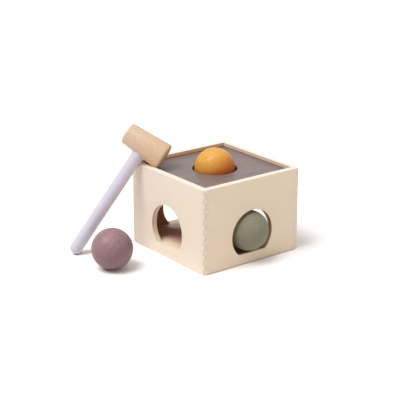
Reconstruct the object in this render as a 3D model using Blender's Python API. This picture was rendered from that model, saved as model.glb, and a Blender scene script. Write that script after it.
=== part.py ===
"""Ball pounding box: a finger-jointed wooden box, three balls and a hammer.

Units are metres and +Z is up. Every place below is measured from the middle of the box's base. One empty
then carries the whole set, so that the middle of its footprint is the origin. The front, with the green
ball, is -Y, and the hammer leans on the left wall, which is -X.
"""

import math

import bmesh
import bpy
from mathutils import Matrix, Vector

# Box
BOX_SIDE = 0.1476
BOX_HEIGHT = 0.106
WALL = 0.0075
FINGER = 0.00635
CORNER_ROUND = 0.004
EDGE_ROUND = 0.001

# Lid and floor, let into grooves in the walls
LID_THICKNESS = 0.008
LID_RECESS = 0.005
FLOOR_THICKNESS = 0.006
SILL_HEIGHT = 0.0135
GROOVE_DEPTH = 0.004

# Balls
BALL_RADIUS = 0.025
GREEN_BALL_INSET = 0.0083
MAUVE_BALL_GAP = 0.0462
MAUVE_BALL_BACK = 0.0123

# Openings that the balls pass through
DOORWAY_CLEARANCE = 0.0057
DOORWAY_DROP = 0.002
DOORWAY_ROUND = 0.001
LID_HOLE_CLEARANCE = 0.0025
LID_HOLE_ROUND = 0.001

# Rubber ring under the lid, its clamp and the screws
RING_GRIP = 0.00145
RING_THICKNESS = 0.002
CLAMP_SET_BACK = 0.0035
CLAMP_WIDTH = 0.011
CLAMP_THICKNESS = 0.005
SCREW_COUNT = 8
SCREW_RADIUS = 0.0015
SCREW_HEAD_RADIUS = 0.003
SCREW_RIM = 0.0004
SCREW_POINT = 0.002
SCREW_BITE = 0.005
DRIVE_WIDTH = 0.0008
DRIVE_LENGTH = 0.0034
DRIVE_DEPTH = 0.0012

# Hammer
HANDLE_RADIUS = 0.0079
HANDLE_REACH = 0.1606
HANDLE_FROM_CORNER = 0.0151
HANDLE_SIDE_LEAN = math.radians(8.8)
HEAD_LENGTH = 0.0561
HEAD_PAST_HANDLE = 0.0014
HEAD_SMALL_RADIUS = 0.0139
HEAD_WIDE_RADIUS = 0.0173
HEAD_ROUND = 0.003
HEAD_ROLL = math.radians(57.8)
SOCKET_PAST_AXIS = 0.008
SOCKET_CHAMFER = 0.001

# Gaps between pieces: glued or screwed joints, and pieces that rest on each other
FIT = 0.0002
CONTACT = 0.0003

# Fineness of curved faces, and how far a cutter stands past what it cuts
DOORWAY_STEPS = 32
TURNED_STEPS = 48
HANDLE_STEPS = 32
SCREW_STEPS = 12
BALL_STEPS = 32
ROUND_STEPS = 2
CORNER_STEPS = 3
HEAD_ROUND_STEPS = 4
DOME_STEPS = 6
RIM_SAMPLES = 600
REST_HALVINGS = 30
PAST = 0.002
MERGE = 1e-7
SMOOTH_ANGLE = math.radians(35)

# Worked out from the sizes above
HALF = BOX_SIDE / 2
INNER_HALF = HALF - WALL
LID_TOP = BOX_HEIGHT - LID_RECESS
LID_BOTTOM = LID_TOP - LID_THICKNESS
LID_HOLE_RADIUS = BALL_RADIUS + LID_HOLE_CLEARANCE
DOORWAY_RADIUS = BALL_RADIUS + DOORWAY_CLEARANCE
DOORWAY_CENTRE = SILL_HEIGHT + BALL_RADIUS - DOORWAY_DROP
RING_TOP = LID_BOTTOM - FIT
RING_BORE_RADIUS = BALL_RADIUS - RING_GRIP
CLAMP_TOP = RING_TOP - RING_THICKNESS - FIT
CLAMP_BOTTOM = CLAMP_TOP - CLAMP_THICKNESS
CLAMP_BORE_RADIUS = LID_HOLE_RADIUS + CLAMP_SET_BACK
CLAMP_RADIUS = CLAMP_BORE_RADIUS + CLAMP_WIDTH
SCREW_CIRCLE_RADIUS = CLAMP_BORE_RADIUS + CLAMP_WIDTH / 2
SCREW_LENGTH = LID_BOTTOM + SCREW_BITE - CLAMP_BOTTOM
EDGE_RISE = BOX_HEIGHT - EDGE_ROUND - HANDLE_RADIUS


def finish(name, red, green, blue, roughness, metallic=0.0):
    """A Principled material from an 8-bit screen colour."""
    material = bpy.data.materials.new(name)
    material.use_nodes = True
    shader = material.node_tree.nodes["Principled BSDF"]
    linear = [((channel / 255 + 0.055) / 1.055) ** 2.4 for channel in (red, green, blue)]
    shader.inputs["Base Color"].default_value = (*linear, 1.0)
    shader.inputs["Roughness"].default_value = roughness
    shader.inputs["Metallic"].default_value = metallic
    return material


def as_mesh(shape, name):
    """Turn a bmesh into a mesh with its faces outward and its round stretches smooth."""
    bmesh.ops.recalc_face_normals(shape, faces=shape.faces)
    mesh = bpy.data.meshes.new(name)
    shape.to_mesh(mesh)
    shape.free()
    mesh.shade_smooth()
    mesh.set_sharp_from_angle(angle=SMOOTH_ANGLE)
    return mesh


def add_piece(name, mesh, material, parent, place=(0, 0, 0)):
    piece = bpy.data.objects.new(name, mesh)
    bpy.context.scene.collection.objects.link(piece)
    piece.parent = parent
    piece.location = place
    if not mesh.materials:
        mesh.materials.append(material)
    return piece


def add_cutter(name, shape, parent):
    cutter = bpy.data.objects.new(name, as_mesh(shape, name))
    bpy.context.scene.collection.objects.link(cutter)
    cutter.parent = parent
    cutter.hide_render = True
    cutter.display_type = "WIRE"
    return cutter


def cut(piece, cutter, operation="DIFFERENCE"):
    step = piece.modifiers.new(cutter.name, "BOOLEAN")
    step.operation = operation
    step.solver = "EXACT"
    step.object = cutter


def add_empty(name, parent=None):
    empty = bpy.data.objects.new(name, None)
    bpy.context.scene.collection.objects.link(empty)
    empty.parent = parent
    return empty


def quarter_round(radius, steps):
    """Depth and set-back along a quarter-round edge, from the face inwards."""
    turns = [math.pi / 2 * step / steps for step in range(steps + 1)]
    return [(radius * (1 - math.cos(turn)), radius * (1 - math.sin(turn))) for turn in turns]


def turn_profile(shape, profile, steps, centre=(0, 0, 0)):
    """Turn a profile of (radius, height) points about a vertical axis through the centre."""
    middle = Vector(centre)
    points = [shape.verts.new(middle + Vector((radius, 0, height))) for radius, height in profile]
    edges = [shape.edges.new(pair) for pair in zip(points, points[1:])]
    bmesh.ops.spin(
        shape,
        geom=points + edges,
        cent=middle,
        axis=(0, 0, 1),
        angle=2 * math.pi,
        steps=steps,
        use_merge=True,
    )
    bmesh.ops.remove_doubles(shape, verts=shape.verts, dist=MERGE)


def turned(name, profile, steps):
    shape = bmesh.new()
    turn_profile(shape, profile, steps)
    return as_mesh(shape, name)


def extrude_outline(shape, outline, travel):
    """Fill a flat outline of points and pull it out along the travel vector."""
    face = shape.faces.new([shape.verts.new(point) for point in outline])
    pulled = bmesh.ops.extrude_face_region(shape, geom=[face])["geom"]
    moved = [item for item in pulled if isinstance(item, bmesh.types.BMVert)]
    bmesh.ops.translate(shape, verts=moved, vec=travel)


def block(shape, low, high):
    """A plain block between two corners."""
    size = [top - bottom for bottom, top in zip(low, high)]
    middle = [(top + bottom) / 2 for bottom, top in zip(low, high)]
    place = Matrix.Translation(middle) @ Matrix.Diagonal((*size, 1))
    return bmesh.ops.create_cube(shape, size=1, matrix=place)["verts"]


def is_level(edge):
    return abs(edge.verts[0].co.z - edge.verts[1].co.z) < MERGE


def sanded_envelope(parent):
    """The box's outside after sanding: a block with rounded upright corners and every other edge eased."""
    shape = bmesh.new()
    block(shape, (-HALF, -HALF, 0), (HALF, HALF, BOX_HEIGHT))
    upright = [edge for edge in shape.edges if not is_level(edge)]
    bmesh.ops.bevel(
        shape, geom=upright, offset=CORNER_ROUND, segments=CORNER_STEPS, profile=0.5, affect="EDGES"
    )
    level = [edge for edge in shape.edges if is_level(edge)]
    bmesh.ops.bevel(
        shape, geom=level, offset=EDGE_ROUND, segments=ROUND_STEPS, profile=0.5, affect="EDGES"
    )
    return add_cutter("sanded_envelope", shape, parent)


def finger_end(own_parity):
    """One end of a wall, bottom to top, as (x, z) points: its fingers, with slots for the next wall's."""
    out = HALF + PAST
    back = INNER_HALF - FIT
    count = max(1, round(BOX_HEIGHT / FINGER))
    points = [(out if own_parity == 0 else back, -PAST)]
    for level in range(1, count):
        height = level * FINGER
        if level % 2 == own_parity:
            points += [(back, height + FIT / 2), (out, height + FIT / 2)]
        else:
            points += [(out, height - FIT / 2), (back, height - FIT / 2)]
    points.append((points[-1][0], BOX_HEIGHT + PAST))
    return points


def wall_mesh(name, own_parity):
    """A wall on the front, with fingers on the levels of its own parity."""
    right = finger_end(own_parity)
    left = [(-across, height) for across, height in reversed(right)]
    shape = bmesh.new()
    extrude_outline(shape, [(x, -HALF - PAST, z) for x, z in right + left], (0, WALL + PAST, 0))
    return as_mesh(shape, name)


def doorway_outline(grow):
    """An arch with a flat sill, as (x, z) points from one end of the sill round to the other."""
    radius = DOORWAY_RADIUS + grow
    sill_turn = math.asin((SILL_HEIGHT - grow - DOORWAY_CENTRE) / radius)
    sweep = math.pi - 2 * sill_turn
    turns = [sill_turn + sweep * step / DOORWAY_STEPS for step in range(DOORWAY_STEPS + 1)]
    return [(radius * math.cos(turn), DOORWAY_CENTRE + radius * math.sin(turn)) for turn in turns]


def doorway_cutter(name, parent, heading):
    """A passage through two facing walls, flared where its edges are rounded over."""
    edge = quarter_round(DOORWAY_ROUND, ROUND_STEPS)
    outer = [(-HALF + depth, grow) for depth, grow in edge]
    inner = [(-INNER_HALF - depth, grow) for depth, grow in reversed(edge)]
    near = [(-HALF - PAST, DOORWAY_ROUND)] + outer + inner
    far = [(-along, grow) for along, grow in reversed(near)]
    shape = bmesh.new()
    rings = []
    for along, grow in near + far:
        rings.append([shape.verts.new((x, along, z)) for x, z in doorway_outline(grow)])
    for ring, following in zip(rings, rings[1:]):
        for here in range(len(ring)):
            after = (here + 1) % len(ring)
            shape.faces.new((ring[here], ring[after], following[after], following[here]))
    shape.faces.new(rings[0])
    shape.faces.new(rings[-1])
    cutter = add_cutter(name, shape, parent)
    cutter.rotation_euler.z = heading
    return cutter


def panel_shape(bottom, top, grow):
    """A panel whose four edges lie in the walls' grooves, with its corners notched clear of the joints."""
    tongue = INNER_HALF + GROOVE_DEPTH - FIT + grow
    notch = INNER_HALF - 2 * FIT + grow
    quarter = [(notch, -tongue), (notch, -notch), (tongue, -notch)]
    outline = []
    for turn in range(4):
        spin = Matrix.Rotation(turn * math.pi / 2, 2)
        outline += [spin @ Vector(point) for point in quarter]
    shape = bmesh.new()
    extrude_outline(
        shape, [(point.x, point.y, bottom - grow) for point in outline], (0, 0, top - bottom + 2 * grow)
    )
    return shape


def screw_profile(grow, below):
    """A countersunk screw, head down, from the middle of its head to its point."""
    neck = SCREW_RIM + SCREW_HEAD_RADIUS - SCREW_RADIUS
    return [
        (0, -below),
        (SCREW_HEAD_RADIUS + grow, -below),
        (SCREW_HEAD_RADIUS + grow, SCREW_RIM),
        (SCREW_RADIUS + grow, neck),
        (SCREW_RADIUS + grow, SCREW_LENGTH - SCREW_POINT + grow),
        (0, SCREW_LENGTH + grow),
    ]


def screw_places():
    turns = [2 * math.pi * (index + 0.5) / SCREW_COUNT for index in range(SCREW_COUNT)]
    return [
        (SCREW_CIRCLE_RADIUS * math.cos(turn), SCREW_CIRCLE_RADIUS * math.sin(turn), CLAMP_BOTTOM)
        for turn in turns
    ]


def screw_mesh(parent):
    """One screw with a cross drive in its head, which every screw shares."""
    shape = bmesh.new()
    for reach_x, reach_y in ((DRIVE_LENGTH, DRIVE_WIDTH), (DRIVE_WIDTH, DRIVE_LENGTH)):
        block(shape, (-reach_x / 2, -reach_y / 2, -PAST), (reach_x / 2, reach_y / 2, DRIVE_DEPTH))
    drive = add_cutter("screw_drive", shape, parent)
    blank = bpy.data.objects.new("screw_blank", turned("screw_blank", screw_profile(0, 0), SCREW_STEPS))
    bpy.context.scene.collection.objects.link(blank)
    cut(blank, drive)
    blank.modifiers[drive.name].use_self = True
    seen = bpy.context.evaluated_depsgraph_get()
    mesh = bpy.data.meshes.new_from_object(blank.evaluated_get(seen))
    bpy.data.objects.remove(blank)
    bpy.data.objects.remove(drive)
    return mesh


def build_walls(parent, wood):
    envelope = sanded_envelope(parent)
    lid_groove = add_cutter("lid_groove", panel_shape(LID_BOTTOM, LID_TOP, FIT), parent)
    floor_groove = add_cutter(
        "floor_groove", panel_shape(SILL_HEIGHT - FLOOR_THICKNESS, SILL_HEIGHT, FIT), parent
    )
    front_to_rear = doorway_cutter("front_to_rear_passage", parent, 0)
    side_to_side = doorway_cutter("side_to_side_passage", parent, math.pi / 2)
    walls = (
        ("front_wall", 0, 1, front_to_rear),
        ("right_wall", 1, 0, side_to_side),
        ("rear_wall", 2, 1, front_to_rear),
        ("left_wall", 3, 0, side_to_side),
    )
    for name, quarter_turns, own_parity, passage in walls:
        wall = add_piece(name, wall_mesh(name, own_parity), wood, parent)
        wall.rotation_euler.z = quarter_turns * math.pi / 2
        cut(wall, envelope, "INTERSECT")
        cut(wall, lid_groove)
        cut(wall, floor_groove)
        cut(wall, passage)


def build_panels(parent, stain, wood, screw_seats):
    lid = add_piece("lid", as_mesh(panel_shape(LID_BOTTOM, LID_TOP, 0), "lid"), stain, parent)
    eased = quarter_round(LID_HOLE_ROUND, ROUND_STEPS)
    edge = [(LID_HOLE_RADIUS + back, LID_TOP - depth) for depth, back in eased]
    rim = [(0, LID_TOP + PAST), (LID_HOLE_RADIUS + LID_HOLE_ROUND, LID_TOP + PAST)]
    base = [(LID_HOLE_RADIUS, LID_BOTTOM - PAST), (0, LID_BOTTOM - PAST)]
    hole = bmesh.new()
    turn_profile(hole, rim + edge + base, TURNED_STEPS)
    cut(lid, add_cutter("lid_hole", hole, parent))
    cut(lid, screw_seats)
    floor = panel_shape(SILL_HEIGHT - FLOOR_THICKNESS, SILL_HEIGHT, 0)
    add_piece("floor_panel", as_mesh(floor, "floor_panel"), wood, parent)


def build_catch(parent, rubber, plywood, zinc, screw_seats):
    """The rubber ring that holds a ball in the lid until it is struck, with its clamp and screws."""
    lip = RING_THICKNESS / 2
    turns = [math.pi / 2 + math.pi * step / (2 * ROUND_STEPS) for step in range(2 * ROUND_STEPS + 1)]
    lip_radius = RING_BORE_RADIUS + lip
    lip_height = RING_TOP - lip
    bore = [(lip_radius + lip * math.cos(turn), lip_height + lip * math.sin(turn)) for turn in turns]
    rim = [(CLAMP_RADIUS, RING_TOP - RING_THICKNESS), (CLAMP_RADIUS, RING_TOP)]
    ring_mesh = turned("retaining_ring", bore + rim + bore[:1], TURNED_STEPS)
    ring = add_piece("retaining_ring", ring_mesh, rubber, parent)
    cut(ring, screw_seats)

    section = [
        (CLAMP_RADIUS, CLAMP_TOP),
        (CLAMP_RADIUS, CLAMP_BOTTOM),
        (CLAMP_BORE_RADIUS, CLAMP_BOTTOM),
        (CLAMP_BORE_RADIUS, CLAMP_TOP),
        (CLAMP_RADIUS, CLAMP_TOP),
    ]
    clamp = add_piece("ring_clamp", turned("ring_clamp", section, TURNED_STEPS), plywood, parent)
    cut(clamp, screw_seats)

    screw = screw_mesh(parent)
    for number, place in enumerate(screw_places(), start=1):
        add_piece(f"clamp_screw_{number}", screw, zinc, parent, place)


def build_balls(parent, orange, green, mauve):
    """Each ball's origin is its middle, which its path runs through."""
    lip = RING_THICKNESS / 2
    reach = BALL_RADIUS + lip + CONTACT
    held_height = RING_TOP - lip + math.sqrt(reach**2 - (RING_BORE_RADIUS + lip) ** 2)
    balls = (
        ("orange_ball", orange, (0, 0, held_height)),
        ("green_ball", green, (0, -HALF + GREEN_BALL_INSET, SILL_HEIGHT + CONTACT + BALL_RADIUS)),
        ("mauve_ball", mauve, (-HALF - MAUVE_BALL_GAP - BALL_RADIUS, MAUVE_BALL_BACK, BALL_RADIUS)),
    )
    for name, colour, middle in balls:
        shape = bmesh.new()
        bmesh.ops.create_uvsphere(
            shape, u_segments=BALL_STEPS, v_segments=BALL_STEPS // 2, radius=BALL_RADIUS
        )
        add_piece(name, as_mesh(shape, name), colour, parent, middle)


def head_gap(crossing, head):
    """Least gap from the hammer's head to the left wall's rim and the lid, its axis along the head vector.

    The head is a tapered core, grown all round by the radius of its eased edges.
    """
    middle = crossing + head * HEAD_PAST_HANDLE
    core_half = HEAD_LENGTH / 2 - HEAD_ROUND
    small = HEAD_SMALL_RADIUS - HEAD_ROUND
    wide = HEAD_WIDE_RADIUS - HEAD_ROUND
    lowest = middle.z + head.z * core_half - wide * math.hypot(head.x, head.y) - HEAD_ROUND
    gaps = [lowest - LID_TOP]
    rim_edges = (
        (-INNER_HALF, BOX_HEIGHT, 0.0),
        (-HALF + EDGE_ROUND, BOX_HEIGHT - EDGE_ROUND, EDGE_ROUND),
    )
    for x, z, edge_round in rim_edges:
        for step in range(RIM_SAMPLES + 1):
            offset = Vector((x, HALF - BOX_SIDE * step / RIM_SAMPLES, z)) - middle
            along = offset.dot(head)
            across = (offset - head * along).length
            held = max(-core_half, min(core_half, along))
            side = small + (wide - small) * (held + core_half) / (2 * core_half)
            gaps.append(math.hypot(along - held, max(0.0, across - side)) - HEAD_ROUND - edge_round)
    return min(gaps)


def hammer_frame(edge_to_head):
    """Where the hammer's axes cross, its handle's direction and its head's direction, foot on the table.

    The handle lies on the left wall's outer top edge, and edge_to_head is the way from there up to the
    head's axis. The head's direction points to its wide end.
    """
    edge_x = -HALF + EDGE_ROUND
    stand_off = HANDLE_RADIUS + EDGE_ROUND + CONTACT
    run = (HANDLE_REACH - HANDLE_RADIUS - edge_to_head) * math.cos(HANDLE_SIDE_LEAN)
    slope = math.asin(EDGE_RISE / math.hypot(run, stand_off)) + math.atan2(stand_off, run)
    handle = Vector(
        (
            math.cos(slope) * math.cos(HANDLE_SIDE_LEAN),
            -math.sin(HANDLE_SIDE_LEAN),
            math.sin(slope) * math.cos(HANDLE_SIDE_LEAN),
        )
    )
    beside_edge = Vector(
        (
            edge_x - stand_off * math.sin(slope),
            HALF - HANDLE_FROM_CORNER,
            HANDLE_RADIUS + EDGE_RISE + stand_off * math.cos(slope),
        )
    )
    level = Vector((handle.y, -handle.x, 0)).normalized()
    head = level * math.cos(HEAD_ROLL) + handle.cross(level) * math.sin(HEAD_ROLL)
    return beside_edge + handle * edge_to_head, handle, head


def hammer_rest():
    """The hammer's place, as low as its head's gap to the rim and the lid allows.

    Local +Z runs up the handle and local +X to the head's wide end, and they cross at the local origin.
    """
    steepest_run = EDGE_RISE / math.cos(HANDLE_SIDE_LEAN)
    low, high = 0.0, HANDLE_REACH - HANDLE_RADIUS - steepest_run
    for _ in range(REST_HALVINGS):
        middle = (low + high) / 2
        crossing, handle, head = hammer_frame(middle)
        if head_gap(crossing, head) < CONTACT:
            low = middle
        else:
            high = middle
    crossing, handle, head = hammer_frame(high)
    turn = Matrix((head, handle.cross(head), handle)).transposed()
    return Matrix.Translation(crossing) @ turn.to_4x4()


def build_hammer(parent, beech, lilac):
    hammer = add_empty("hammer", parent)
    hammer.matrix_local = hammer_rest()

    half = HEAD_LENGTH / 2
    edge = quarter_round(HEAD_ROUND, HEAD_ROUND_STEPS)
    wide = [(HEAD_WIDE_RADIUS - depth, half - back) for depth, back in reversed(edge)]
    small = [(HEAD_SMALL_RADIUS - depth, back - half) for depth, back in edge]
    head = turned("hammer_head", [(0, half)] + wide + small + [(0, -half)], TURNED_STEPS)
    head.transform(Matrix.Translation((HEAD_PAST_HANDLE, 0, 0)) @ Matrix.Rotation(math.pi / 2, 4, "Y"))
    head_piece = add_piece("hammer_head", head, beech, hammer)
    socket = bmesh.new()
    socket_end = SOCKET_PAST_AXIS + FIT
    socket_mouth = -HEAD_WIDE_RADIUS - PAST
    bore = HANDLE_RADIUS + FIT
    turn_profile(
        socket, [(0, socket_end), (bore, socket_end), (bore, socket_mouth), (0, socket_mouth)], HANDLE_STEPS
    )
    cut(head_piece, add_cutter("handle_socket", socket, hammer))

    dome_middle = HANDLE_RADIUS - HANDLE_REACH
    turns = [math.pi / 2 * step / DOME_STEPS for step in range(DOME_STEPS + 1)]
    dome = [
        (HANDLE_RADIUS * math.cos(turn), dome_middle - HANDLE_RADIUS * math.sin(turn))
        for turn in turns[:-1]
    ]
    tip = [(0, -HANDLE_REACH)]
    top = [
        (0, SOCKET_PAST_AXIS),
        (HANDLE_RADIUS - SOCKET_CHAMFER, SOCKET_PAST_AXIS),
        (HANDLE_RADIUS, SOCKET_PAST_AXIS - SOCKET_CHAMFER),
    ]
    add_piece("hammer_handle", turned("hammer_handle", top + dome + tip, HANDLE_STEPS), lilac, hammer)


def centre_on_footprint(parent):
    """Move the set so that the middle of its footprint is the origin."""
    seen = bpy.context.evaluated_depsgraph_get()
    corners = []
    for piece in bpy.context.scene.objects:
        if piece.type == "MESH" and not piece.hide_render:
            mesh = piece.evaluated_get(seen).to_mesh()
            corners += [piece.matrix_world @ vertex.co for vertex in mesh.vertices]
    for axis in (0, 1):
        spread = [corner[axis] for corner in corners]
        parent.location[axis] = -(min(spread) + max(spread)) / 2


def main():
    for old in list(bpy.data.objects):
        bpy.data.objects.remove(old)
    pale_birch = finish("pale_birch", 240, 221, 200, 0.5)
    mauve_stain = finish("mauve_grey_stain", 150, 134, 134, 0.55)
    pale_rubber = finish("pale_rubber", 205, 190, 170, 0.8)
    plywood = finish("plywood", 222, 196, 160, 0.6)
    zinc = finish("zinc_plate", 190, 190, 186, 0.35, 1.0)
    orange = finish("orange_paint", 226, 160, 74, 0.45)
    sage = finish("sage_paint", 146, 142, 118, 0.5)
    mauve = finish("mauve_paint", 156, 124, 128, 0.5)
    beech = finish("beech", 228, 196, 164, 0.5)
    lilac = finish("lilac_paint", 232, 226, 236, 0.5)

    toy = add_empty("pounding_box_set")
    seats = bmesh.new()
    for place in screw_places():
        turn_profile(seats, screw_profile(FIT, PAST), SCREW_STEPS, place)
    screw_seats = add_cutter("screw_seats", seats, toy)
    build_walls(toy, pale_birch)
    build_panels(toy, mauve_stain, pale_birch, screw_seats)
    build_catch(toy, pale_rubber, plywood, zinc, screw_seats)
    build_balls(toy, orange, sage, mauve)
    build_hammer(toy, beech, lilac)
    bpy.context.view_layer.update()
    centre_on_footprint(toy)
    bpy.context.view_layer.update()


main()
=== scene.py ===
import math

import bmesh
import bpy
from mathutils import Matrix, Vector, noise


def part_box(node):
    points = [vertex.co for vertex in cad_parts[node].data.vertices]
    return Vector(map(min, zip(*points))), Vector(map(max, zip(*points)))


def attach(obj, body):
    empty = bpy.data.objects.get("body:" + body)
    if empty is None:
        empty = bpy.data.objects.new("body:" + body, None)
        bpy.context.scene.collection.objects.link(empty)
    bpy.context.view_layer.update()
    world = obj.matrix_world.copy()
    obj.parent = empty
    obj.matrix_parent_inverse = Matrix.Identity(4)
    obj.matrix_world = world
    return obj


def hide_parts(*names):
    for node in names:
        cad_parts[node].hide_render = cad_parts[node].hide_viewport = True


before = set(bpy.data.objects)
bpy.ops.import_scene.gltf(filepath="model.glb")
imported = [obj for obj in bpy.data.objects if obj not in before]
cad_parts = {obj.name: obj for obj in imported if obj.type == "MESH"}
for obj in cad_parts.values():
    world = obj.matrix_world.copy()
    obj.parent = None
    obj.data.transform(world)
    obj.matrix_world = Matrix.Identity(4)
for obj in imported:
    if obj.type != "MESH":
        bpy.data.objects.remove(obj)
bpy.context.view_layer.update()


# colours are given as on screen, shaders want them linear
def screen(red, green, blue):
    linear = [((channel / 255 + 0.055) / 1.055) ** 2.4 for channel in (red, green, blue)]
    return (*linear, 1.0)


class Wire:  # one output socket, so that shader maths can be written as sums
    def __init__(self, finish, socket):
        self.finish = finish
        self.socket = socket

    def maths(self, operation, first, second=0.0):
        return self.finish.node("ShaderNodeMath", {"operation": operation}, {0: first, 1: second})

    def __add__(self, other):
        return self.maths("ADD", self, other)

    def __radd__(self, other):
        return self.maths("ADD", other, self)

    def __sub__(self, other):
        return self.maths("SUBTRACT", self, other)

    def __rsub__(self, other):
        return self.maths("SUBTRACT", other, self)

    def __mul__(self, other):
        return self.maths("MULTIPLY", self, other)

    def __rmul__(self, other):
        return self.maths("MULTIPLY", other, self)

    def size(self):
        return self.maths("ABSOLUTE", self)

    def sine(self):
        return self.maths("SINE", self)

    def atLeast(self, other):
        return self.maths("MAXIMUM", self, other)


class Finish:  # the nodes of one material, or of the world
    def __init__(self, owner):
        owner.use_nodes = True
        self.owner = owner
        self.tree = owner.node_tree
        self.tree.nodes.clear()
        self.where = self.node("ShaderNodeTexCoord", output="Object")

    def node(self, kind, settings=None, inputs=None, output=0):
        made = self.tree.nodes.new(kind)
        for key, value in (settings or {}).items():
            setattr(made, key, value)
        for key, value in (inputs or {}).items():
            if isinstance(value, Wire):
                self.tree.links.new(value.socket, made.inputs[key])
            else:
                made.inputs[key].default_value = value
        return Wire(self, made.outputs[output]) if made.outputs else None

    def follow(self, place):  # grain runs in a piece's own frame when its mesh is already set down
        self.where = self.node(
            "ShaderNodeMapping",
            {"vector_type": "TEXTURE"},
            {"Vector": self.where, "Location": place.translation, "Rotation": place.to_euler()},
        )

    def part(self, vector, axis):
        return self.node("ShaderNodeSeparateXYZ", inputs={"Vector": vector}, output=axis)

    def noise(self, scale, seed, detail, roughness=0.55, distortion=0.0):
        shift = (seed, seed * 0.7, seed * 1.3)
        stretched = self.node(
            "ShaderNodeMapping", inputs={"Vector": self.where, "Location": shift, "Scale": scale}
        )
        return self.node(
            "ShaderNodeTexNoise",
            inputs={
                "Vector": stretched,
                "Scale": 1.0,
                "Detail": detail,
                "Roughness": roughness,
                "Distortion": distortion,
            },
        )

    def between(self, value, low, high):  # 0 before low, 1 after high, eased between
        return self.node(
            "ShaderNodeMapRange",
            {"interpolation_type": "SMOOTHSTEP"},
            {"Value": value, "From Min": low, "From Max": high},
        )

    def mix(self, amount, first, second):
        return self.node("ShaderNodeMix", {"data_type": "RGBA"}, {0: amount, 6: first, 7: second}, output=2)

    def surface(self, colour, roughness, height, depth, **fixed):
        bump = self.node("ShaderNodeBump", inputs={"Distance": depth, "Height": height})
        inputs = {"Base Color": colour, "Roughness": roughness, "Normal": bump}
        inputs.update({key.replace("_", " "): value for key, value in fixed.items()})
        shader = self.node("ShaderNodeBsdfPrincipled", inputs=inputs)
        self.node("ShaderNodeOutputMaterial", inputs={"Surface": shader})
        return self.owner


def newFinish(name):
    return Finish(bpy.data.materials.new(name))


# shared by every mesh that is made here
making = {
    "creaseAngle": 32,  # degrees, sharper edges than this show as edges
    "easeAngle": 50,  # only sharper edges than this are eased
    "easeSegments": 2,
    "flatWeight": 100,
    "weld": 1e-7,
    "level": 1e-6,
    "overshoot": 0.002,  # cutters run this far past what they cut
}


def smoothed(shape, name, angle=making["creaseAngle"]):
    bmesh.ops.recalc_face_normals(shape, faces=shape.faces)
    mesh = bpy.data.meshes.new(name)
    shape.to_mesh(mesh)
    shape.free()
    mesh.shade_smooth()
    mesh.set_sharp_from_angle(angle=math.radians(angle))
    return mesh


def addPiece(name, mesh, place=Matrix()):
    piece = bpy.data.objects.new(name, mesh)
    bpy.context.scene.collection.objects.link(piece)
    piece.matrix_world = place
    return piece


def dress(piece, material, body, slot, *nodes):
    piece.data.materials.clear()
    piece.data.materials.append(material)
    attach(piece, body)
    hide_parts(*nodes)


def paintNode(node, material):  # a CAD piece whose shape is already right
    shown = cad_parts[node]
    shown.data.materials.clear()
    shown.data.materials.append(material)


def quarterRound(radius, steps):  # depth and set-back along an eased edge
    turns = [math.pi / 2 * step / steps for step in range(steps + 1)]
    return [(radius * (1 - math.cos(turn)), radius * (1 - math.sin(turn))) for turn in turns]


def turnProfile(shape, profile, steps):  # (radius, height) points about the local Z axis
    points = [shape.verts.new((radius, 0, height)) for radius, height in profile]
    edges = [shape.edges.new(pair) for pair in zip(points, points[1:])]
    bmesh.ops.spin(
        shape, geom=points + edges, axis=(0, 0, 1), angle=2 * math.pi, steps=steps, use_merge=True
    )
    bmesh.ops.remove_doubles(shape, verts=shape.verts, dist=making["weld"])


def extrudeOutline(shape, outline, travel):
    face = shape.faces.new([shape.verts.new(point) for point in outline])
    pulled = bmesh.ops.extrude_face_region(shape, geom=[face])["geom"]
    moved = [item for item in pulled if isinstance(item, bmesh.types.BMVert)]
    bmesh.ops.translate(shape, verts=moved, vec=travel)


def carve(piece, cutter, operation="DIFFERENCE"):
    step = piece.modifiers.new(cutter.name, "BOOLEAN")
    step.operation = operation
    step.solver = "EXACT"
    step.object = cutter


def easeEdges(piece, width):
    step = piece.modifiers.new("eased", "BEVEL")
    step.width = width
    step.segments = making["easeSegments"]
    step.limit_method = "ANGLE"
    step.angle_limit = math.radians(making["easeAngle"])
    step.miter_outer = "MITER_ARC"


def freeze(piece):  # modifiers become mesh
    bpy.context.view_layer.update()
    seen = bpy.context.evaluated_depsgraph_get()
    mesh = bpy.data.meshes.new_from_object(piece.evaluated_get(seen))
    piece.modifiers.clear()
    piece.data = mesh


def settle(piece):  # smooth, with flat faces kept flat up to their eased edges
    freeze(piece)
    piece.data.shade_smooth()
    piece.data.set_sharp_from_angle(angle=math.radians(making["creaseAngle"]))
    step = piece.modifiers.new("flat_faces", "WEIGHTED_NORMAL")
    step.weight = making["flatWeight"]
    step.keep_sharp = True
    freeze(piece)


# the box's own sizes, read from the frame
frontLow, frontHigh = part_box("front_wall")
leftLow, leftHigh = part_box("left_wall")
lidLow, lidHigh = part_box("lid")
floorLow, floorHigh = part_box("floor_panel")
ballLow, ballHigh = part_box("orange_ball")
boxMiddle = Vector(((frontLow.x + frontHigh.x) / 2, (leftLow.y + leftHigh.y) / 2, 0))
boxHalf = (frontHigh.x - frontLow.x) / 2
boxHeight = frontHigh.z
wallThick = frontHigh.y - frontLow.y
innerHalf = boxHalf - wallThick
ballRadius = (ballHigh.z - ballLow.z) / 2

# pale wood for walls and floor, grain along the board's local X
birch = {
    "fleck": screen(205, 174, 142),
    "fleckAmount": 0.15,
    "rough": 0.52,
    "relief": 0.00006,
    "bandScale": (5, 45, 45),
    "figureScale": (9, 150, 150),
    "fibreScale": (45, 1300, 1300),
    "fleckScale": (170, 1500, 1500),
}


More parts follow.
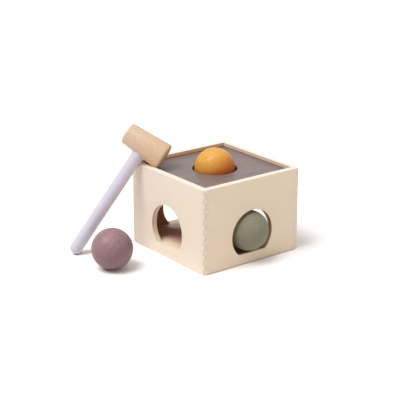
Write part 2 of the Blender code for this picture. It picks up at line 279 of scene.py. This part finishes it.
def birchGrain(finish, tones, seed):  # colour, roughness and relief of a planed board
    bands = finish.noise(birch["bandScale"], seed, detail=2)
    figure = finish.noise(birch["figureScale"], seed + 3, detail=4, distortion=0.6)
    fibres = finish.noise(birch["fibreScale"], seed + 7, detail=4)
    flecks = finish.between(finish.noise(birch["fleckScale"], seed + 11, detail=1), 0.66, 0.74)
    amount = 0.4 + (bands - 0.5) * 0.15 + (figure - 0.5) * 0.15 + (fibres - 0.5) * 0.6
    colour = finish.mix(amount, tones["pale"], tones["tan"])
    colour = finish.mix(flecks * birch["fleckAmount"], colour, birch["fleck"])
    return colour, birch["rough"] + (fibres - 0.5) * 0.12, fibres * 0.6 + figure * 0.1


# four boards: sizes, tones, and where on a board one tone gives way to another
wall = {
    "finger": 0.00635,
    "fit": 0.0002,
    "cornerRound": 0.004,
    "cornerSteps": 8,
    "rimRound": 0.0009,
    "footRound": 0.0015,
    "sandedSteps": 4,
    "easing": 0.00012,
    "archRoom": 0.0057,  # a ball rolls through with this to spare
    "archSink": 0.002,  # the arch's centre is this far below a resting ball's
    "archRound": 0.0004,
    "archStep": 0.0001,
    "archSteps": 96,
    "grooveDepth": 0.004,
    "side": {
        "pale": screen(248, 231, 213),
        "tan": screen(239, 218, 196),
        "end": screen(245, 224, 201),
        "jamb": screen(250, 227, 203),
        # the sill's paler tone is painted light
        "sill": screen(255, 239, 213),
        "foot": screen(239, 218, 196),
        "strip": screen(238, 216, 190),
        "arris": (0.5, 0.65, 0.8),  # how far the surface has turned where the painted shade starts, peaks and ends
    },
    "front": {
        "pale": screen(247, 225, 200),
        "tan": screen(237, 211, 182),
        "end": screen(246, 229, 210),
        "jamb": screen(204, 170, 134),
        "sill": screen(204, 170, 134),
        # the foot's dark tone is a painted contact shadow
        "foot": screen(150, 112, 86),
        # the tanner strip is painted shade on the rear board's inner face above the lid
        "strip": screen(240, 204, 160),
        "arris": (0.05, 0.2, 0.35),
    },
    # the paler top is a painted highlight
    "rim": screen(248, 234, 218),
    # the darker tone below the lid is painted shade
    "insideShade": screen(196, 137, 104),
    # a painted shadow along the arch's outer edge
    "archEdgeShade": screen(158, 128, 98),
    # painted shade on the fingers' round arris
    "arrisShade": screen(165, 140, 116),
    # a dark seam where the lid meets the wall, partly painted groove shadow
    "jointShadow": screen(128, 92, 76),
    "arrisShadeAmount": 0.6,
    "jointShadowAmount": 0.7,
    "footShadeAmount": 0.45,
    "archEdgeShadeAmount": 0.55,
    "poreScale": (1500, 1500, 1500),
    "fingerFade": 0.001,
    "jointShadowFade": (0.0015, 0.0005),  # above the lid
    "rimFade": (0.0005, 0.0001),  # below the top
    "footShadeFade": (0.0017, 0.0006),  # above the table
    "archFade": 0.002,
    "cutFadeOuter": (0.0004, 0.0009),  # in from the outer face
    "cutFadeInner": (0.0002, 0.001),  # out from the inner face
    "edgeShadeFade": (0.0026, 0.0016),  # in from the outer face
}
archRadius = ballRadius + wall["archRoom"]
archCentre = floorHigh.z + ballRadius - wall["archSink"]


def wallFinish(name, tones, seed):
    finish = newFinish(name)
    colour, roughness, relief = birchGrain(finish, tones, seed)
    facing = finish.node("ShaderNodeTexCoord", output="Normal")
    height = finish.part(finish.where, 2)
    depth = finish.part(finish.where, 1) + boxHalf
    sideways = finish.part(finish.where, 0)
    ends = finish.part(facing, 0).size()
    endGrain = finish.between(ends, 0.75, 0.97)
    pores = finish.noise(wall["poreScale"], seed + 17, detail=2)
    colour = finish.mix(endGrain * (0.6 + pores * 0.5), colour, tones["end"])
    # painted shade on the round arris of each finger, where the corner turns
    before, on, after = tones["arris"]
    arris = finish.between(ends, before, on) * finish.between(ends, after, on)
    fingers = finish.between(sideways.size(), innerHalf, innerHalf + wall["fingerFade"])
    colour = finish.mix(arris * fingers * wall["arrisShadeAmount"], colour, wall["arrisShade"])
    # the inner face: finished above the lid, darker below it as painted shade, a dark seam between that is
    # partly painted groove shadow
    inner = finish.between(finish.part(facing, 1), 0.6, 0.9)
    # the strip's tone on the front and rear boards is painted shade
    colour = finish.mix(inner, colour, tones["strip"])
    # painted shade below the lid
    colour = finish.mix(inner * finish.between(height, lidHigh.z, lidLow.z), colour, wall["insideShade"])
    # a dark seam above the lid, partly painted groove shadow
    jointStart, jointFull = wall["jointShadowFade"]
    jointShadow = finish.between(height, lidHigh.z + jointStart, lidHigh.z + jointFull)
    jointShadow = inner * jointShadow * finish.between(height, lidLow.z, lidHigh.z)
    colour = finish.mix(jointShadow * wall["jointShadowAmount"], colour, wall["jointShadow"])
    # the top is painted paler: a painted highlight
    rimStart, rimFull = wall["rimFade"]
    rim = finish.between(height, boxHeight - rimStart, boxHeight - rimFull)
    colour = finish.mix(rim, colour, wall["rim"])
    # a darker band along the foot: painted contact shadow, strong on the front and rear boards
    foot = finish.between(height, *wall["footShadeFade"])
    colour = finish.mix(foot * wall["footShadeAmount"], colour, tones["foot"])
    # the arch: cut surface, a painted shadow along its outer edge, the sill's tone lower down, which is
    # painted light on the side boards
    rise = height - archCentre
    faded = archRadius + wall["archFade"]
    inArch = finish.between(sideways * sideways + rise * rise, faded ** 2, archRadius ** 2)
    innerStart, innerFull = wall["cutFadeInner"]
    cut = finish.between(depth, *wall["cutFadeOuter"])
    cut = cut * finish.between(depth, wallThick - innerStart, wallThick - innerFull)
    colour = finish.mix(inArch * cut, colour, tones["jamb"])
    low = finish.between(height, archCentre + wall["archFade"], floorHigh.z + wall["archFade"])
    edgeShade = cut * finish.between(depth, *wall["edgeShadeFade"]) * (1 - low)
    colour = finish.mix(inArch * edgeShade * wall["archEdgeShadeAmount"], colour, wall["archEdgeShade"])
    # the sill's tone: painted light on the side boards
    colour = finish.mix(inArch * cut * low, colour, tones["sill"])
    return finish.surface(colour, roughness + endGrain * 0.15, relief, birch["relief"])


def sameHeight(first, second):
    return abs(first - second) < making["level"]


def isLevel(edge):
    return sameHeight(edge.verts[0].co.z, edge.verts[1].co.z)


def roundEdges(shape, edges, radius, steps):
    bmesh.ops.bevel(shape, geom=edges, offset=radius, segments=steps, profile=0.5, affect="EDGES")


def sandedBlock():  # the box's outside: round corners, every other edge eased
    shape = bmesh.new()
    size = (2 * boxHalf, 2 * boxHalf, boxHeight)
    place = Matrix.Translation((0, 0, boxHeight / 2)) @ Matrix.Diagonal((*size, 1))
    bmesh.ops.create_cube(shape, size=1, matrix=place)
    upright = [edge for edge in shape.edges if not isLevel(edge)]
    roundEdges(shape, upright, wall["cornerRound"], wall["cornerSteps"])
    for height, radius in ((0.0, wall["footRound"]), (boxHeight, wall["rimRound"])):
        level = [edge for edge in shape.edges if isLevel(edge) and sameHeight(edge.verts[0].co.z, height)]
        roundEdges(shape, level, radius, wall["sandedSteps"])
    return addPiece("sanded_block", smoothed(shape, "sanded_block"))


def fingerEnd(ownLevel):  # one end of a wall as (x, z) points, bottom to top
    out = boxHalf + making["overshoot"]
    back = innerHalf - wall["fit"]
    levels = round(boxHeight / wall["finger"])
    points = [(out if ownLevel == 0 else back, -making["overshoot"])]
    for level in range(1, levels):
        height = level * wall["finger"]
        if level % 2 == ownLevel:
            points += [(back, height + wall["fit"] / 2), (out, height + wall["fit"] / 2)]
        else:
            points += [(out, height - wall["fit"] / 2), (back, height - wall["fit"] / 2)]
    return points + [(points[-1][0], boxHeight + making["overshoot"])]


def archOutline(grow):  # flat sill and round arch, as (x, z) points
    radius = archRadius + grow
    sillTurn = math.asin((floorHigh.z - grow - archCentre) / radius)
    sweep = math.pi - 2 * sillTurn
    turns = [sillTurn + sweep * step / wall["archSteps"] for step in range(wall["archSteps"] + 1)]
    return [(radius * math.cos(turn), archCentre + radius * math.sin(turn)) for turn in turns]


def archCutter():  # a passage through one wall, rounded over at both faces with the cutter's fine step
    eased = quarterRound(wall["archRound"], wall["sandedSteps"])
    edge = [(depth, grow + wall["archStep"]) for depth, grow in eased] + [(wall["archRound"], 0.0)]
    outer = [(-boxHalf + depth, grow) for depth, grow in edge]
    inner = [(-innerHalf - depth, grow) for depth, grow in reversed(edge)]
    flare = wall["archRound"] + wall["archStep"]
    start = [(-boxHalf - making["overshoot"], flare)]
    end = [(-innerHalf + making["overshoot"], flare)]
    shape = bmesh.new()
    rings = []
    for along, grow in start + outer + inner + end:
        rings.append([shape.verts.new((x, along, z)) for x, z in archOutline(grow)])
    for ring, following in zip(rings, rings[1:]):
        for here in range(len(ring)):
            after = (here + 1) % len(ring)
            shape.faces.new((ring[here], ring[after], following[after], following[here]))
    shape.faces.new(rings[0])
    shape.faces.new(rings[-1])
    return addPiece("arch_cutter", smoothed(shape, "arch_cutter"))


def panelOutline(grow):  # a panel with its corners notched clear of the finger joints
    tongue = innerHalf + wall["grooveDepth"] - wall["fit"] + grow
    notch = innerHalf - 2 * wall["fit"] + grow
    outline = []
    for turn in range(4):
        spin = Matrix.Rotation(turn * math.pi / 2, 2)
        outline += [spin @ Vector(point) for point in ((notch, -tongue), (notch, -notch), (tongue, -notch))]
    return outline


def panelBlock(name, bottom, top, grow=0.0):
    shape = bmesh.new()
    outline = [(point.x, point.y, bottom - grow) for point in panelOutline(grow)]
    extrudeOutline(shape, outline, (0, 0, top - bottom + 2 * grow))
    return addPiece(name, smoothed(shape, name))


def buildWalls():
    block = sandedBlock()
    arch = archCutter()
    grooves = [
        panelBlock("lid_groove", lidLow.z, lidHigh.z, wall["fit"]),
        panelBlock("floor_groove", floorLow.z, floorHigh.z, wall["fit"]),
    ]
    boards = (
        ("front", 0, 1, wall["front"], 4.1),
        ("right", 1, 0, wall["side"], 9.7),
        ("rear", 2, 1, wall["front"], 15.3),
        ("left", 3, 0, wall["side"], 21.9),
    )
    for side, quarterTurns, ownLevel, tones, seed in boards:
        right = fingerEnd(ownLevel)
        left = [(-across, height) for across, height in reversed(right)]
        shape = bmesh.new()
        outline = [(x, -boxHalf - making["overshoot"], z) for x, z in right + left]
        extrudeOutline(shape, outline, (0, wallThick + making["overshoot"], 0))
        board = addPiece(side + "_board", smoothed(shape, side + "_board"))
        carve(board, block, "INTERSECT")
        for groove in grooves:
            carve(board, groove)
        carve(board, arch)
        easeEdges(board, wall["easing"])
        settle(board)
        turn = Matrix.Rotation(quarterTurns * math.pi / 2, 4, "Z")
        board.matrix_world = Matrix.Translation(boxMiddle) @ turn
        dress(board, wallFinish(side + "_birch", tones, seed), "box", "pale_birch", side + "_wall")
    for tool in [block, arch, *grooves]:
        bpy.data.objects.remove(tool)
    print("walls: four finger-jointed boards")


buildWalls()


# stained lid, grain along X
lid = {
    "stain": screen(121, 108, 110),
    "deep": screen(80, 70, 74),
    "warm": screen(130, 105, 96),
    "holeWall": screen(96, 62, 46),
    "streakAmount": 0.55,
    "poreAmount": 0.35,
    "rough": 0.4,
    "relief": 0.00008,
    "bandScale": (6, 60, 60),
    "streakScale": (14, 520, 520),
    "poreScale": (120, 1700, 1700),
    "holeClearance": 0.0025,
    "holeSteps": 128,
    "holeRound": 0.001,
    "holeRoundSteps": 5,
    "holeFade": (0.0007, 0.0002),  # out from the hole's wall
    "easing": 0.0003,
    "easingSteps": 3,
}
holeRadius = ballRadius + lid["holeClearance"]


def lidFinish():
    finish = newFinish("mauve_grey_stain")
    bands = finish.noise(lid["bandScale"], 2.0, detail=3)
    streaks = finish.noise(lid["streakScale"], 5.0, detail=5, roughness=0.65)
    pores = finish.between(finish.noise(lid["poreScale"], 8.0, detail=2), 0.6, 0.7)
    colour = finish.mix(bands, lid["stain"], lid["warm"])
    dark = finish.between(streaks, 0.42, 0.72)
    colour = finish.mix(dark * lid["streakAmount"], colour, lid["deep"])
    colour = finish.mix(pores * lid["poreAmount"], colour, lid["deep"])
    # the hole's wall is darker
    across = finish.part(finish.where, 0)
    along = finish.part(finish.where, 1)
    start, full = [(holeRadius + out) ** 2 for out in lid["holeFade"]]
    hole = finish.between(across * across + along * along, start, full)
    colour = finish.mix(hole, colour, lid["holeWall"])
    return finish.surface(colour, lid["rough"] + (streaks - 0.5) * 0.2, streaks, lid["relief"])


def buildLid():
    board = panelBlock("stained_lid", lidLow.z, lidHigh.z)
    rounded = quarterRound(lid["holeRound"], lid["holeRoundSteps"])
    eased = quarterRound(lid["easing"], lid["easingSteps"])
    upper = [(holeRadius + back, lidHigh.z - depth) for depth, back in rounded]
    lower = [(holeRadius + back, lidLow.z + depth) for depth, back in reversed(eased)]
    above = lidHigh.z + making["overshoot"]
    below = lidLow.z - making["overshoot"]
    mouth = [(0, above), (upper[0][0], above)]
    foot = [(lower[-1][0], below), (0, below)]
    shape = bmesh.new()
    turnProfile(shape, mouth + upper + lower + foot, lid["holeSteps"])
    cutter = addPiece("hole_cutter", smoothed(shape, "hole_cutter"))
    carve(board, cutter)
    settle(board)
    bpy.data.objects.remove(cutter)
    board.matrix_world = Matrix.Translation(boxMiddle)
    dress(board, lidFinish(), "box", "mauve_grey_stain", "lid")
    print("lid: stained, with an eased hole")


buildLid()


# floor panel; distances are from the board's middle
floorBoard = {
    "pale": screen(253, 226, 193),
    "tan": screen(247, 214, 177),
    # the paler sill is painted light
    "sill": screen(255, 239, 213),
    # painted shade: more red and darker further in from the openings
    "shadeTone": screen(230, 171, 145),
    # painted shade at the front, where the ball sits
    "frontShadeTone": screen(122, 80, 60),
    "sideFade": (0.028, 0.048),  # how far along a side opening's pale patch of painted light reaches
    "rearFade": (0.02, 0.045),  # how far across the rear opening's does
    "patchFade": 0.04,
    "rearReach": 0.006,
    "innerShadeFade": (0.063, 0.038),
    "frontShadeFade": (-0.02, -0.045),
    "sillFade": 0.001,
    "smoother": 0.28,
    "innerRough": 0.5,
    "shine": 0.45,
}


def floorFinish():  # pale and smooth by the openings and at the sill as painted light; more red further in and darker at the front as painted shade
    finish = newFinish("floor_birch")
    colour, roughness, relief = birchGrain(finish, floorBoard, 31.0)
    across = finish.part(finish.where, 0).size()
    along = finish.part(finish.where, 1)
    pastSide = finish.between(along.size(), *floorBoard["sideFade"])
    pastRear = finish.between(across, *floorBoard["rearFade"])
    bySide = across - pastSide * floorBoard["patchFade"]
    byRear = along + floorBoard["rearReach"] - pastRear * floorBoard["patchFade"]
    away = bySide.atLeast(byRear)
    # painted shade further in, with painted light in the pale patches by the openings
    innerShade = finish.between(away, *floorBoard["innerShadeFade"])
    colour = finish.mix(innerShade, colour, floorBoard["shadeTone"])
    # painted shade at the front, where the ball sits
    frontShade = finish.between(along, *floorBoard["frontShadeFade"])
    colour = finish.mix(frontShade, colour, floorBoard["frontShadeTone"])
    # the sill's paler tone is painted light
    sill = finish.between(away, innerHalf - floorBoard["sillFade"], innerHalf)
    colour = finish.mix(sill, colour, floorBoard["sill"])
    roughness = roughness - floorBoard["smoother"] + innerShade * floorBoard["innerRough"]
    return finish.surface(
        colour, roughness, relief, birch["relief"], Specular_IOR_Level=floorBoard["shine"]
    )


def buildFloor():
    board = panelBlock("floor_board", floorLow.z, floorHigh.z)
    board.matrix_world = Matrix.Translation(boxMiddle)
    dress(board, floorFinish(), "box", "pale_birch", "floor_panel")
    print("floor: one panel")


buildFloor()


# rubber ring under the lid, its plywood clamp and the screws
catch = {
    "rubber": screen(206, 191, 171),
    "rubberDust": screen(224, 214, 199),
    "veneerPale": screen(228, 204, 170),
    "veneerDark": screen(190, 152, 112),
    "veneer": 0.0011,
    "zinc": screen(192, 193, 190),
    "bloomScale": (90, 90, 90),
    "gritScale": (1800, 1800, 1800),
    "fibreScale": (60, 1200, 1200),
    "brushScale": (400, 400, 400),
    "rubberRelief": 0.00005,
    "veneerRelief": 0.00006,
    "zincRelief": 0.00002,
}


def rubberFinish():
    finish = newFinish("pale_rubber")
    bloom = finish.noise(catch["bloomScale"], 1.0, detail=4)
    grit = finish.noise(catch["gritScale"], 3.0, detail=2)
    colour = finish.mix(bloom * 0.6 + grit * 0.2, catch["rubber"], catch["rubberDust"])
    return finish.surface(colour, 0.72 + grit * 0.15, grit, catch["rubberRelief"])


def plywoodFinish():
    finish = newFinish("clamp_plywood")
    layer = (finish.part(finish.where, 2) * (math.pi / catch["veneer"])).sine()
    fibres = finish.noise(catch["fibreScale"], 5.0, detail=4)
    colour = finish.mix(finish.between(layer, -0.3, 0.3) * 0.6, catch["veneerPale"], catch["veneerDark"])
    colour = finish.mix((fibres - 0.4) * 0.8, colour, catch["veneerDark"])
    return finish.surface(colour, 0.6, fibres, catch["veneerRelief"])


def zincFinish():
    finish = newFinish("zinc_plate")
    brushed = finish.noise(catch["brushScale"], 2.0, detail=3)
    roughness = 0.3 + brushed * 0.15
    return finish.surface(catch["zinc"], roughness, brushed, catch["zincRelief"], Metallic=1.0)


def buildCatch():
    paintNode("retaining_ring", rubberFinish())
    paintNode("ring_clamp", plywoodFinish())
    zinc = zincFinish()
    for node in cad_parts:
        if node.startswith("clamp_screw"):
            paintNode(node, zinc)
    print("catch: rubber ring, clamp and screws")


buildCatch()


# thin paint over turned wood: grain shows through, pores stay pale
# each ball's low tone is painted shade on its lower, right and front side
balls = {
    "orange_ball": {
        "paint": screen(227, 171, 76),
        "shadow": screen(219, 142, 38),
        "low": screen(212, 104, 12),
        "pore": screen(246, 190, 92),
        "speckle": 0.2,
        "grain": 0.6,
        "rough": 0.5,
        "shine": 0.3,
        "lacquer": 0.15,
        "slot": "orange_paint",
        "seed": 3.0,
    },
    "green_ball": {
        "paint": screen(147, 142, 119),
        "shadow": screen(126, 122, 99),
        "low": screen(128, 124, 102),
        "pore": screen(198, 192, 166),
        "speckle": 0.6,
        "grain": 0.5,
        "rough": 0.5,
        "shine": 0.3,
        "lacquer": 0.0,
        "slot": "sage_paint",
        "seed": 12.0,
    },
    "mauve_ball": {
        "paint": screen(149, 115, 119),
        "shadow": screen(133, 99, 104),
        "low": screen(134, 99, 104),
        "pore": screen(205, 178, 174),
        "speckle": 0.65,
        "grain": 0.6,
        "rough": 0.55,
        "shine": 0.35,
        "lacquer": 0.2,
        "slot": "mauve_paint",
        "seed": 27.0,
    },
}

# the same for all three; fades are in ball radii
turning = {
    "cuts": 40,
    "creaseAngle": 60,
    "wobble": 0.00002,
    "wobbleScale": 3.0,
    "relief": 0.00008,
    "lacquerRough": 0.28,
    "grainScale": (25, 260, 260),
    "cloudScale": (95, 95, 95),
    "dotScale": (820, 820, 820),
    "shadeAcross": 0.48,  # painted shade: more red and darker below, to the right and in front
    "shadeAlong": 0.36,
    "shadeFade": (0.8, -0.4),
    "poreFade": (-0.2, 0.8),
}


def ballFinish(name, style):
    finish = newFinish(name + "_paint")
    seed = style["seed"]
    grain = finish.noise(turning["grainScale"], seed, detail=5, distortion=0.4)
    cloud = finish.noise(turning["cloudScale"], seed + 5, detail=3)
    dots = finish.noise(turning["dotScale"], seed + 9, detail=2, roughness=0.7)
    speckles = finish.between(dots, 0.55, 0.72)
    height = finish.part(finish.where, 2)
    across = finish.part(finish.where, 0) * turning["shadeAcross"]
    shadeSide = height - across + finish.part(finish.where, 1) * turning["shadeAlong"]
    amount = finish.between(grain, 0.35, 0.7) * style["grain"] + (cloud - 0.5) * 0.8
    colour = finish.mix(amount, style["paint"], style["shadow"])
    # painted shade: more red and darker towards the lower right front
    redderShade = finish.between(shadeSide, *[reach * ballRadius for reach in turning["shadeFade"]])
    colour = finish.mix(redderShade, colour, style["low"])
    upper = finish.between(height, *[reach * ballRadius for reach in turning["poreFade"]])
    upper = 0.5 + upper * 0.7
    colour = finish.mix(speckles * upper * style["speckle"], colour, style["pore"])
    roughness = style["rough"] + (cloud - 0.5) * 0.15 + speckles * 0.1
    relief = speckles * 0.5 + grain * 0.5
    return finish.surface(
        colour,
        roughness,
        relief,
        turning["relief"],
        Specular_IOR_Level=style["shine"],
        Coat_Weight=style["lacquer"],
        Coat_Roughness=turning["lacquerRough"],
    )


def turnedBall(name):
    shape = bmesh.new()
    bmesh.ops.create_cube(shape, size=2)
    bmesh.ops.subdivide_edges(shape, edges=shape.edges[:], cuts=turning["cuts"], use_grid_fill=True)
    for point in shape.verts:
        spread = [math.tan(math.pi / 4 * side) for side in point.co]
        ray = Vector(spread).normalized()
        point.co = ray * (ballRadius + turning["wobble"] * noise.noise(ray * turning["wobbleScale"]))
    return smoothed(shape, name, turning["creaseAngle"])


def buildBalls():
    for node, style in balls.items():
        low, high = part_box(node)
        place = Matrix.Translation((low + high) / 2)
        ball = addPiece(node + "_turned", turnedBall(node + "_turned"), place)
        dress(ball, ballFinish(node, style), node, style["slot"], node)
    print("balls: three, painted thin over wood")


buildBalls()


# hammer: beech head on a painted dowel, worked in the handle's own frame
hammer = {
    "peach": screen(228, 199, 175),
    "beech": screen(224, 188, 152),
    "beechDeep": screen(208, 171, 135),
    "fleck": screen(182, 140, 104),
    "lilac": screen(220, 213, 225),
    "lilacDeep": screen(199, 189, 204),
    "handleRadius": 0.0079,
    "headSmall": 0.0139,
    "headWide": 0.0173,
    "headRound": 0.003,
    "roundSteps": 8,
    "headSteps": 128,
    "topChamfer": 0.001,
    "domeSteps": 14,
    "handleSteps": 96,
    "fit": 0.0002,
    "bandScale": (14, 110, 110),
    "fibreScale": (80, 1100, 1100),
    "rayScale": (330, 1700, 1700),
    "rayAmount": 0.65,
    "beechRelief": 0.00008,
    "paintCloudScale": (40, 40, 25),
    "paintFibreScale": (900, 900, 45),
    "lilacRelief": 0.00005,
    "sameWay": 0.99999,  # faces whose normals agree this closely are one flat face
}


def flatFaces(node):  # a node's flat faces as (area, way it faces, middle), largest first
    groups = []
    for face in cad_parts[node].data.polygons:
        group = next((one for one in groups if one[0].normal.dot(face.normal) > hammer["sameWay"]), None)
        if group:
            group.append(face)
        else:
            groups.append([face])
    faces = []
    for group in groups:
        area = sum(face.area for face in group)
        middle = sum((face.center * face.area for face in group), Vector()) / area
        faces.append((area, group[0].normal.copy(), middle))
    return sorted(faces, key=lambda face: -face[0])


def hammerFrame():  # local X to the wide end, local Z up the handle, and how far each end lies along them
    (_, headWay, wideEnd), (_, _, smallEnd), (_, mouthWay, socketEnd) = flatFaces("hammer_head")[:3]
    handleWay = -mouthWay
    crossing = wideEnd + headWay * headWay.dot(socketEnd - wideEnd)
    turn = Matrix((headWay, handleWay.cross(headWay), handleWay)).transposed().to_4x4()
    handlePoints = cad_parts["hammer_handle"].data.vertices
    ends = {
        "wide": headWay.dot(wideEnd - crossing),
        "small": headWay.dot(smallEnd - crossing),
        "top": handleWay.dot(socketEnd - crossing),
        "tip": min(handleWay.dot(point.co - crossing) for point in handlePoints),
    }
    return Matrix.Translation(crossing) @ turn, ends


def beechFinish(place, ends):
    finish = newFinish("hammer_beech")
    finish.follow(place)
    bands = finish.noise(hammer["bandScale"], 2.0, detail=3)
    fibres = finish.noise(hammer["fibreScale"], 4.0, detail=4)
    rays = finish.between(finish.noise(hammer["rayScale"], 6.0, detail=1), 0.62, 0.7)
    along = finish.between(finish.part(finish.where, 0), ends["small"], ends["wide"])
    colour = finish.mix(along, hammer["peach"], hammer["beech"])
    colour = finish.mix((bands - 0.3) * 0.9 + (fibres - 0.5) * 0.5, colour, hammer["beechDeep"])
    colour = finish.mix(rays * hammer["rayAmount"], colour, hammer["fleck"])
    roughness = 0.5 + (fibres - 0.5) * 0.15
    return finish.surface(colour, roughness, fibres - rays * 0.5, hammer["beechRelief"])


def lilacFinish(place):
    finish = newFinish("handle_lilac")
    finish.follow(place)
    cloud = finish.noise(hammer["paintCloudScale"], 3.0, detail=3)
    fibres = finish.noise(hammer["paintFibreScale"], 8.0, detail=4)
    colour = finish.mix(cloud * 0.8 + (fibres - 0.5) * 0.5, hammer["lilac"], hammer["lilacDeep"])
    return finish.surface(colour, 0.42 + (cloud - 0.5) * 0.15, fibres, hammer["lilacRelief"])


def buildHead(place, ends):
    edge = quarterRound(hammer["headRound"], hammer["roundSteps"])
    wide = [(hammer["headWide"] - depth, ends["wide"] - back) for depth, back in reversed(edge)]
    small = [(hammer["headSmall"] - depth, ends["small"] + back) for depth, back in edge]
    shape = bmesh.new()
    profile = [(0, ends["wide"])] + wide + small + [(0, ends["small"])]
    turnProfile(shape, profile, hammer["headSteps"])
    bmesh.ops.transform(shape, matrix=Matrix.Rotation(math.pi / 2, 4, "Y"), verts=shape.verts)
    head = addPiece("beech_head", smoothed(shape, "beech_head"))
    bore = hammer["handleRadius"] + hammer["fit"]
    mouth = -hammer["headWide"] - making["overshoot"]
    shape = bmesh.new()
    socket = [(0, ends["top"]), (bore, ends["top"]), (bore, mouth), (0, mouth)]
    turnProfile(shape, socket, hammer["handleSteps"])
    cutter = addPiece("socket_cutter", smoothed(shape, "socket_cutter"))
    carve(head, cutter)
    settle(head)
    bpy.data.objects.remove(cutter)
    head.data.transform(place)
    dress(head, beechFinish(place, ends), "hammer", "beech", "hammer_head")


def buildHandle(place, ends):
    radius = hammer["handleRadius"]
    top = ends["top"] - hammer["fit"]
    chamfer = hammer["topChamfer"]
    turns = [math.pi / 2 * step / hammer["domeSteps"] for step in range(hammer["domeSteps"])]
    dome = [(radius * math.cos(turn), ends["tip"] + radius * (1 - math.sin(turn))) for turn in turns]
    shape = bmesh.new()
    upper = [(0, top), (radius - chamfer, top), (radius, top - chamfer)]
    turnProfile(shape, upper + dome + [(0, ends["tip"])], hammer["handleSteps"])
    dowel = addPiece("lilac_handle", smoothed(shape, "lilac_handle"))
    dowel.data.transform(place)
    dress(dowel, lilacFinish(place), "hammer", "lilac_paint", "hammer_handle")


def buildHammer():
    place, ends = hammerFrame()
    buildHead(place, ends)
    buildHandle(place, ends)
    print("hammer: beech head on a lilac handle")


buildHammer()


# studio: white floor, a soft key from the left, a broad lamp overhead and a sky of three pale cards
studio = {
    "lamps": (  # name, bearing, height, spread and strength
        ("key", -100, 59.5, 38, 2.21),
        ("overhead", -106, 82, 60, 0.77),
    ),
    "cards": (  # bearing, height and strength: backdrop behind, then front right, then front
        (180, 14, 0.36),
        (45, 32, 0.40),
        (0, 14, 0.36),
    ),
    "floorWhite": (0.95, 0.95, 0.95, 1.0),
    "floorSeen": (1.17, 1.145, 1.14, 1.0),
    "floorDrop": 0.0001,
    "floorHalf": 15.0,
}


def aimFrom(bearing, height):  # the way from the object to a lamp or camera, 0 being the front
    around = math.radians(bearing)
    above = math.radians(height)
    level = math.cos(above)
    return Vector((math.sin(around) * level, -math.cos(around) * level, math.sin(above)))


def seenDirectly(finish):  # camera, mirror and glass rays all see the white studio
    rays = ("Is Camera Ray", "Is Glossy Ray", "Is Transmission Ray")
    eye, mirror, glass = [finish.node("ShaderNodeLightPath", output=ray) for ray in rays]
    return eye.atLeast(mirror).atLeast(glass)


def layFloor():
    shape = bmesh.new()
    bmesh.ops.create_grid(shape, x_segments=1, y_segments=1, size=studio["floorHalf"])
    ground = addPiece("studio_floor", smoothed(shape, "studio_floor"))
    ground.location.z = -studio["floorDrop"]
    finish = newFinish("studio_white")
    white = finish.mix(seenDirectly(finish), studio["floorWhite"], studio["floorSeen"])
    matt = finish.node("ShaderNodeBsdfDiffuse", inputs={"Color": white})
    finish.node("ShaderNodeOutputMaterial", inputs={"Surface": matt})
    ground.data.materials.append(finish.owner)


def raiseCards():
    world = bpy.data.worlds.new("studio_fill")
    bpy.context.scene.world = world
    sky = Finish(world)
    way = sky.node("ShaderNodeTexCoord", output="Generated")
    glow = 0.0
    for bearing, height, strength in studio["cards"]:
        ways = {0: way, 1: aimFrom(bearing, height)}
        lean = sky.node("ShaderNodeVectorMath", {"operation": "DOT_PRODUCT"}, ways, output="Value")
        lean = lean.atLeast(0.0)
        glow = lean * lean * strength + glow  # broad, strongest where the card hangs
    shown = seenDirectly(sky).atLeast(glow)
    light = sky.node("ShaderNodeBackground", inputs={"Color": (1, 1, 1, 1), "Strength": shown})
    sky.node("ShaderNodeOutputWorld", inputs={"Surface": light})


def hangLamps():
    for name, bearing, height, spread, strength in studio["lamps"]:
        lamp = bpy.data.lights.new(name, "SUN")
        lamp.energy = strength
        lamp.angle = math.radians(spread)
        hung = bpy.data.objects.new(name, lamp)
        bpy.context.scene.collection.objects.link(hung)
        hung.rotation_mode = "QUATERNION"
        hung.rotation_quaternion = aimFrom(bearing, height).to_track_quat("Z", "Y")


def buildStudio():
    layFloor()
    raiseCards()
    hangLamps()
    bpy.context.scene.view_settings.view_transform = "Standard"
    print("studio: floor, cards and lamps")


buildStudio()


# where the photo was taken from, fitted to the box's edges
camera = {
    "fromBox": Vector((-0.8701, -1.1085, 0.5490)),
    "azimuth": -37.39,
    "elevation": 19.17,
    "lens": 108.1,
    "sensor": 36.0,
}


def buildCamera():
    lens = bpy.data.cameras.new("photo_view")
    lens.lens = camera["lens"]
    lens.sensor_width = camera["sensor"]
    eye = bpy.data.objects.new("photo_view", lens)
    bpy.context.scene.collection.objects.link(eye)
    eye.location = boxMiddle + camera["fromBox"]
    eye.rotation_mode = "QUATERNION"
    eye.rotation_quaternion = aimFrom(camera["azimuth"], camera["elevation"]).to_track_quat("Z", "Y")
    bpy.context.scene.camera = eye
    print("camera: at the photo's angle")


buildCamera()
